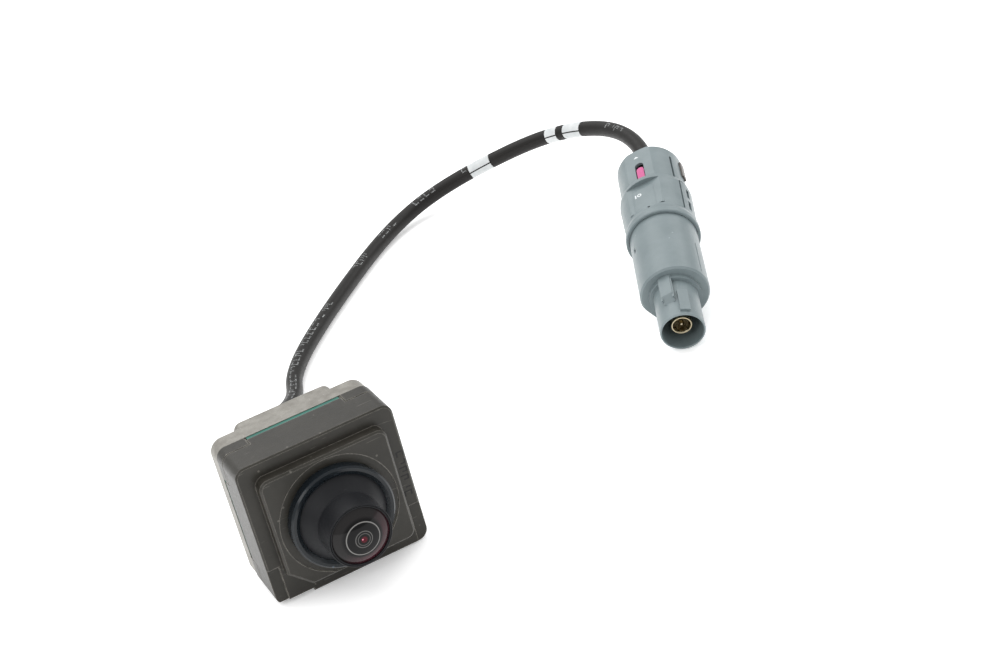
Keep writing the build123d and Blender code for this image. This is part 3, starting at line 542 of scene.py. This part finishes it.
# White prints: a bar and a ring on the sleeve's pad, and an arrowhead on the cap's flat
def plugPrint(tree):
    x, along, height = millimetres(tree, plugPose["tip"], tuple(plugPlace.to_euler()))
    barX, barAlong, barWide, barLong = plugMarks["bar"]
    bar = both(tree, within(tree, x, barX, barWide), within(tree, along, barAlong, barLong))
    ringX, ringAlong, ringRadius, ringWide = plugMarks["ring"]
    ring = within(tree, reachFrom(tree, x, along, ringX, ringAlong), ringRadius, ringWide)
    arrowX, arrowStart, arrowLong = plugMarks["arrow"]
    rise = calc(tree, "SUBTRACT", along, arrowStart)
    side = calc(tree, "ABSOLUTE", calc(tree, "SUBTRACT", x, arrowX))
    taper = calc(tree, "LESS_THAN", side, calc(tree, "SUBTRACT", arrowLong, rise))
    arrow = both(tree, taper, within(tree, rise, arrowLong / 2, arrowLong / 2))
    marks = calc(tree, "MAXIMUM", calc(tree, "MAXIMUM", bar, ring), arrow)
    top = calc(tree, "GREATER_THAN", height, plugMarks["above"])
    return both(tree, marks, top, plugMarks["strength"]), plugMarks["colour"], plugMarks["raised"]


materials["caseStamped"] = satin("caseStamped", stampedBorder, **looks["casePlastic"])
materials["plugPrinted"] = satin("plugPrinted", plugPrint, **looks["plugGrey"])

# Front lens: a black coated dome with the rings of the stack below it, a painted magenta-brown reflection toward
# the lower right of the rim and a painted pink glint near the middle, in mm about the lens axis
frontLens = {
    "shader": {
        "colour": (0.003, 0.003, 0.0035), "IOR": 1.5, "Specular IOR Level": 0.16, "Coat Weight": 0.05,
        "Coat Roughness": 0.02,
    },
    "grain": {"Scale": 1200.0, "Cloud": 300.0},
    "rough": (0.03, 0.06),
    "axisHeight": 13.0,
    "rings": [(2.85, 0.075, 0.20), (1.42, 0.07, 0.10), (1.02, 0.06, 0.08)],  # radius, half width, brightness
    "ringTint": (1.0, 0.97, 0.94), "ringEdge": (0.5, 1.6),  # where a ring's line fades, in half widths
    "inside": (0.001, 0.001, 0.0012), "rim": (0.014, 0.013, 0.013),  # within the first ring and outside it
    "rimFrom": (3.2, 3.7),
    # painted magenta-brown reflection on the rim, strongest toward the lower right
    "reflectionToward": (0.633, -0.774), "reflectionLevels": (-0.6, 3.4), "reflectionCloud": (0.6, 1.0),
    "reflectionColour": (0.046, 0.012, 0.018),
    "irisFade": (0.434, 0.62), "irisColour": (0.07, 0.002, 0.008),
    # painted pink glint: a highlight a little left of the middle
    "glint": (-0.24, 0.12), "glintFade": (0.08, 0.16), "glintColour": (0.75, 0.25, 0.34),
}


def frontLensMaterial():
    material, tree, shader = startMaterial("lensCoated", frontLens["shader"])
    x, _, z = millimetres(tree, (0, 0, frontLens["axisHeight"]))
    radius = reachFrom(tree, x, z)
    grain = useGroup(tree, "grain", **frontLens["grain"])
    towardX, towardZ = frontLens["reflectionToward"]
    # painted reflection: strongest toward the lower right, on the rim only, broken up by cloud
    toReflection = calc(tree, "MULTIPLY_ADD", z, towardZ, calc(tree, "MULTIPLY", x, towardX))
    onRim = ramp(tree, radius, *frontLens["rimFrom"])
    cloudy = ramp(tree, grain["Cloud"], 0.0, 1.0, *frontLens["reflectionCloud"])
    paintedReflection = both(tree, ramp(tree, toReflection, *frontLens["reflectionLevels"]), onRim, cloudy)
    colour = blendColour(tree, onRim, frontLens["inside"], frontLens["rim"])
    colour = blendColour(tree, paintedReflection, colour, frontLens["reflectionColour"])
    for middle, half, bright in frontLens["rings"]:
        away = calc(tree, "ABSOLUTE", calc(tree, "SUBTRACT", radius, middle))
        fadeFrom, fadeTo = [half * edge for edge in frontLens["ringEdge"]]
        ringColour = tuple(bright * tone for tone in frontLens["ringTint"])
        colour = blendColour(tree, ramp(tree, away, fadeFrom, fadeTo, 1.0, 0.0), colour, ringColour)
    iris = ramp(tree, radius, *frontLens["irisFade"], 1.0, 0.0)
    colour = blendColour(tree, iris, colour, frontLens["irisColour"])
    # painted pink glint
    glint = ramp(tree, reachFrom(tree, x, z, *frontLens["glint"]), *frontLens["glintFade"], 1.0, 0.0)
    colour = blendColour(tree, glint, colour, frontLens["glintColour"])
    feed(tree, shader.inputs["Base Color"], colour)
    feed(tree, shader.inputs["Roughness"], ramp(tree, grain["Cloud"], 0.0, 1.0, *frontLens["rough"]))
    return material


materials["lensCoated"] = frontLensMaterial()
print("materials made:", len(materials))

slotMaterial = {
    "case_plastic": "casePlastic", "gasket_green": "gasketTeal", "cast_aluminium": "castAluminium",
    "screw_steel": "screwSteel", "gloss_ring": "glossRing", "barrel_black": "barrelBlack",
    "lens_glass": "lensGlass", "filter_glass": "filterGlass", "spacer_metal": "spacerMetal",
    "seal_rubber": "sealRubber", "sensor_package": "sensorPackage", "board_green": "boardGreen",
    "tin_plate": "tinPlate", "connector_black": "connectorBlack", "pad_grey": "padGrey",
    "contact_brass": "contactBrass", "lead_jacket": "leadCore", "boot_rubber": "bootRubber",
    "plug_grey": "plugGrey", "tab_brown": "tabBrown", "lock_pink": "lockPink",
    "insulator_white": "insulatorWhite",
}
ownMaterial = {
    "front_housing": "caseStamped", "front_lens": "lensCoated",
    "plug_sleeve": "plugPrinted", "rear_cap": "plugPrinted",
}
for part in frame["record"]["subparts"]:
    mesh = nodes[part["node"]].data
    mesh.materials.clear()
    chosen = ownMaterial.get(part["node"], slotMaterial[part["material_slot"]])
    mesh.materials.append(materials[chosen])
print("nodes given their materials")

lead = {
    "diameter": 3.3,
    "length": 0.2,
    "route": [
        (0, 19.8, 13.0), (0, 30.2, 13.0), (3.5, 40.5, 6.4), (13.0, 52.4, 1.65), (17.1, 65.5, 1.65),
        (34.2, 85.6, 1.65), (59.8, 111.0, 1.65), (77.9, 113.0, 5.5), (98.9, 95.2, 14.8),
    ],
    "sides": 40,
    "stepsPerPoint": 28,
    "splineOrder": 3,
}
jacket = {
    "shader": {"colour": (0.01, 0.01, 0.01), "Specular IOR Level": 0.22},
    "grain": {"Scale": 3500.0, "Cloud": 500.0}, "grainLevels": (0.5, 1.1), "rough": (0.38, 0.50),
    "black": (0.0055, 0.005, 0.0045), "dustAndSheen": (0.024, 0.022, 0.020),
    "dustAndSheenStretch": (0.3, 9.0, 1.0), "dustAndSheenNoise": (60.0, 4.0, 0.7), "dustAndSheenLevels": (0.45, 0.75),
    "white": ((0.50, 0.52, 0.525), (0.60, 0.615, 0.615)),
    "bands": [(134.9, 140.4), (155.9, 159.0), (161.1, 166.2)],  # mm from the camera's boot
    "ragged": 0.5, "raggedNoise": (900.0, 2.0),
    "splitAt": 80.0, "splitWidth": 10.0,  # the black line in the bands, degrees to the right of the top
    "textFrom": (60.0, 150.0), "textAngle": (-6.0, -28.0),  # mm along, and degrees left of the top there
    "textWidth": 48.0, "glyph": 1.75, "textGaps": 0.5, "textStrength": 0.8,
    "wornNoise": (700.0, 3.0, 0.7), "wornLevels": (0.50, 0.57),
    "paintRough": 0.12, "paintHeight": 0.5, "bump": 0.2, "bumpHeight": 0.00005,
}


# Jacket: black satin with faint pale streaks that are partly dust and partly a painted sheen, white bands with a
# thin black split, and worn print
def jacketMaterial():
    material, tree, shader = startMaterial("leadJacket", jacket["shader"])
    uv = add(tree, "UVMap", uv_map="along").outputs[0]
    split = add(tree, "SeparateXYZ")
    feed(tree, split.inputs[0], uv)
    along = calc(tree, "MULTIPLY", split.outputs[0], 1 / mm)
    degreesRound = calc(tree, "MULTIPLY_ADD", split.outputs[1], 360.0, -180.0)  # left of the top
    grain = useGroup(tree, "grain", **jacket["grain"])
    dustAndSheen = add(tree, "Mapping")
    dustAndSheen.inputs["Scale"].default_value = jacket["dustAndSheenStretch"]
    feed(tree, dustAndSheen.inputs["Vector"], uv)
    # pale streaks along the lead: partly dust, partly a painted sheen
    streak = ramp(tree, noise(tree, dustAndSheen.outputs[0], *jacket["dustAndSheenNoise"]), *jacket["dustAndSheenLevels"])
    colour = blendColour(tree, streak, jacket["black"], jacket["dustAndSheen"])
    ragged = calc(tree, "MULTIPLY_ADD", noise(tree, uv, *jacket["raggedNoise"]), jacket["ragged"], along)
    band = 0.0
    for start, end in jacket["bands"]:
        shown = within(tree, ragged, (start + end + jacket["ragged"]) / 2, (end - start) / 2)
        band = calc(tree, "MAXIMUM", band, shown)
    line = within(tree, degreesRound, -jacket["splitAt"], jacket["splitWidth"] / 2)
    farLine = within(tree, degreesRound, 180 - jacket["splitAt"], jacket["splitWidth"] / 2)
    band = both(tree, band, calc(tree, "SUBTRACT", 1.0, calc(tree, "MAXIMUM", line, farLine)))
    middle = ramp(tree, along, *jacket["textFrom"], *jacket["textAngle"])
    across = calc(tree, "SUBTRACT", degreesRound, middle)
    across = calc(tree, "MULTIPLY_ADD", across, 1 / jacket["textWidth"], 0.5)
    text = useGroup(
        tree, "printMarks", Along=along, Across=across, Pitch=jacket["glyph"], Gaps=jacket["textGaps"],
    )["Mask"]
    kept = ramp(tree, noise(tree, uv, *jacket["wornNoise"]), *jacket["wornLevels"])
    text = both(tree, text, kept, calc(tree, "SUBTRACT", 1.0, band))
    paint = calc(tree, "MAXIMUM", band, calc(tree, "MULTIPLY", text, jacket["textStrength"]))
    white = blendColour(tree, grain["Cloud"], *jacket["white"])
    feed(tree, shader.inputs["Base Color"], blendColour(tree, paint, colour, white))
    rough = ramp(tree, grain["Height"], *jacket["grainLevels"], *jacket["rough"])
    feed(tree, shader.inputs["Roughness"], calc(tree, "MULTIPLY_ADD", paint, jacket["paintRough"], rough))
    height = calc(tree, "MULTIPLY_ADD", paint, jacket["paintHeight"], grain["Height"])
    addBump(tree, shader, jacket["bump"], jacket["bumpHeight"], height)
    return material


# Centre line: one smooth spline whose control points are the route's, ending in the plug
def leadLine():
    behind = Vector((0, plugPose["length"] + plugPose["entryRun"], 0)) * mm
    tail = Vector((0, plugPose["length"], 0)) * mm
    route = [Vector(point) * mm for point in lead["route"]] + [plugPlace @ behind, plugPlace @ tail]
    curve = bpy.data.curves.new("leadLine", "CURVE")
    curve.dimensions = "3D"
    curve.resolution_u = lead["stepsPerPoint"]
    spline = curve.splines.new("NURBS")
    spline.points.add(len(route) - 1)
    for point, place in zip(spline.points, route):
        point.co = (*place, 1)
    spline.order_u = lead["splineOrder"]
    spline.use_endpoint_u = True
    line = bpy.data.objects.new("leadLine", curve)
    scene.collection.objects.link(line)
    bpy.context.view_layer.update()
    flat = bpy.data.meshes.new_from_object(line)
    points = np.empty(len(flat.vertices) * 3, np.float32)
    flat.vertices.foreach_get("co", points)
    bpy.data.objects.remove(line)
    bpy.data.meshes.remove(flat)
    return points.reshape(-1, 3).astype(float)


# Tube: each ring is the centre plus radius times (cos of the angle x the top direction + sin of the angle x the
# left direction)
def leadMesh(line):
    ahead = np.gradient(line, axis=0)
    ahead /= np.linalg.norm(ahead, axis=1, keepdims=True)
    left = np.cross((0, 0, 1), ahead)
    left /= np.linalg.norm(left, axis=1, keepdims=True)
    top = np.cross(ahead, left)
    angle = np.linspace(pi, -pi, lead["sides"], endpoint=False)
    radius = lead["diameter"] / 2 * mm
    ring = np.cos(angle)[None, :, None] * top[:, None] + np.sin(angle)[None, :, None] * left[:, None]
    steps = np.linalg.norm(np.diff(line, axis=0), axis=1)
    along = np.concatenate([[0], np.cumsum(steps)])
    share = np.linspace(1, 0, lead["sides"] + 1)
    uv = np.stack(np.broadcast_arrays(along[:, None], share[None, :]), axis=-1)
    print("lead measures", round(along[-1] / mm, 1), "mm")
    return gridMesh("lead", line[:, None] + radius * ring, caps=True, uv=uv)


line = leadLine()
leadPiece = addPiece("lead", leadMesh(line), jacketMaterial())
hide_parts("lead_cable")
print("lead made")

# Raised pad on the sleeve's flat: rings of a rounded square, |x|^n + |y|^n = 1 with n = 2 / roundness,
# stretched to its half sizes, each higher ring a little smaller
sleevePad = {
    "centre": (-0.2, 34.75), "half": (2.4, 3.75), "top": 6.32, "roundness": 0.28, "points": 72,
    "rings": [(0.0, 0.32), (0.0, 0.12), (0.042, 0.036), (0.12, 0.0), (1.0, 0.0)],  # inset, and depth under the top
}


def sleevePadMesh():
    angle = np.linspace(0, 2 * pi, sleevePad["points"], endpoint=False)
    circle = np.stack([np.cos(angle), np.sin(angle)], axis=-1)
    outline = np.abs(circle) ** sleevePad["roundness"] * np.sign(circle)
    inset = np.array([ring[0] for ring in sleevePad["rings"]])
    height = sleevePad["top"] - np.array([ring[1] for ring in sleevePad["rings"]])
    half = np.array(sleevePad["half"])[None, :] - inset[:, None]
    flat = outline[None] * half[:, None] + np.array(sleevePad["centre"])
    points = np.concatenate([flat, np.broadcast_to(height[:, None, None], (*flat.shape[:2], 1))], axis=-1)
    return gridMesh("sleevePad", moved(points * mm, plugPlace), caps=True)


padPiece = addPiece("sleevePad", sleevePadMesh(), materials["plugPrinted"])
print("pad made")

# Pale table and soft studio light
studio = {
    "floor": 3.0, "floorCells": 8, "floorBelow": 0.0001,
    "floorLook": {"colour": (0.96, 0.96, 0.96), "Specular IOR Level": 0.1},
    "floorRough": 0.9, "floorGlow": 0.3, "white": (1, 1, 1, 1), "sky": 0.8,
    "lights": [  # place, size and power of each soft box, and the point that it faces
        ((-0.15, 0.40, 1.0), 1.4, 11.0, (0.02, 0.03, 0.0)),
        ((-0.55, -0.3, 0.5), 0.35, 0.9, (0.0, 0.0, 0.01)),
        ((0.6, 0.15, 0.55), 0.5, 1.4, (0.05, 0.05, 0.0)),
    ],
}
floorEdge = np.linspace(-studio["floor"], studio["floor"], studio["floorCells"] + 1)
gridX, gridY = np.meshgrid(floorEdge, floorEdge)
floorPoints = np.stack([gridX, gridY, 0 * gridX - studio["floorBelow"]], axis=-1)
floorMesh = gridMesh("floor", floorPoints, around=False)
floorMaterial, floorTree, floorShader = startMaterial("floorPaper", studio["floorLook"])
feed(floorTree, floorShader.inputs["Base Color"], (*studio["floorLook"]["colour"], 1))
feed(floorTree, floorShader.inputs["Roughness"], studio["floorRough"])
feed(floorTree, floorShader.inputs["Emission Color"], studio["white"])
feed(floorTree, floorShader.inputs["Emission Strength"], studio["floorGlow"])
floorMesh.materials.append(floorMaterial)
floor = bpy.data.objects.new("floor", floorMesh)
scene.collection.objects.link(floor)
world = bpy.data.worlds.new("studio")
world.use_nodes = True
background = world.node_tree.nodes["Background"]
background.inputs["Color"].default_value = studio["white"]
background.inputs["Strength"].default_value = studio["sky"]
scene.world = world
for number, (place, size, power, aim) in enumerate(studio["lights"]):
    softBox = bpy.data.lights.new(f"softBox{number}", "AREA")
    softBox.size, softBox.energy = size, power
    lamp = bpy.data.objects.new(f"softBox{number}", softBox)
    lamp.location = place
    lamp.rotation_euler = (Vector(aim) - Vector(place)).to_track_quat("-Z", "Y").to_euler()
    scene.collection.objects.link(lamp)
scene.view_settings.view_transform = "Standard"
print("stage and lights made")
